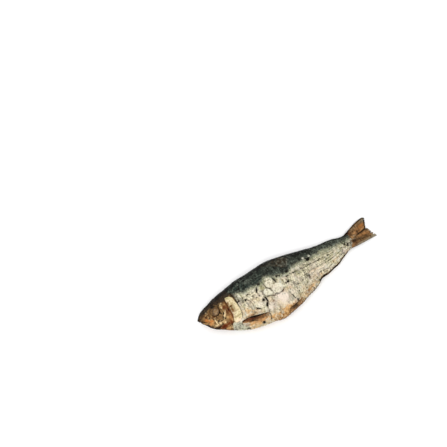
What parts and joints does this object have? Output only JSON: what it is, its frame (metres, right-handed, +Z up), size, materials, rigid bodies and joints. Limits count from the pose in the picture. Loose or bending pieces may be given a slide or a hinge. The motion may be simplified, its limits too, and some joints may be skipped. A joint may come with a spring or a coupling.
{
  "type": "smoked fish",
  "caption": "Whole small smoked fish lying on its side, with scaled silver flank, dark back, gill covers, eyes, folded fins and forked tail; ready prepared food.",
  "frame": {"origin": "on the surface that the fish lies on, under the middle of its bounding box", "axes": "+X from the head to the tail, +Y from the belly to the back, +Z up, out of the left flank"},
  "size_m": [0.171, 0.0492, 0.0204],
  "materials": {
    "skin": "smoked fish skin: satin silver and gold flank with a dark blue-brown back",
    "gill_cover": "smooth cream and brown bone under dried skin, satin",
    "fins": "dry translucent brown fin rays, matt",
    "eye": "cooked eye, clouded, with a dark ring, slightly glossy"
  },
  "bodies": {
    "root": {"fish": "skin"}
  },
  "joints": []
}
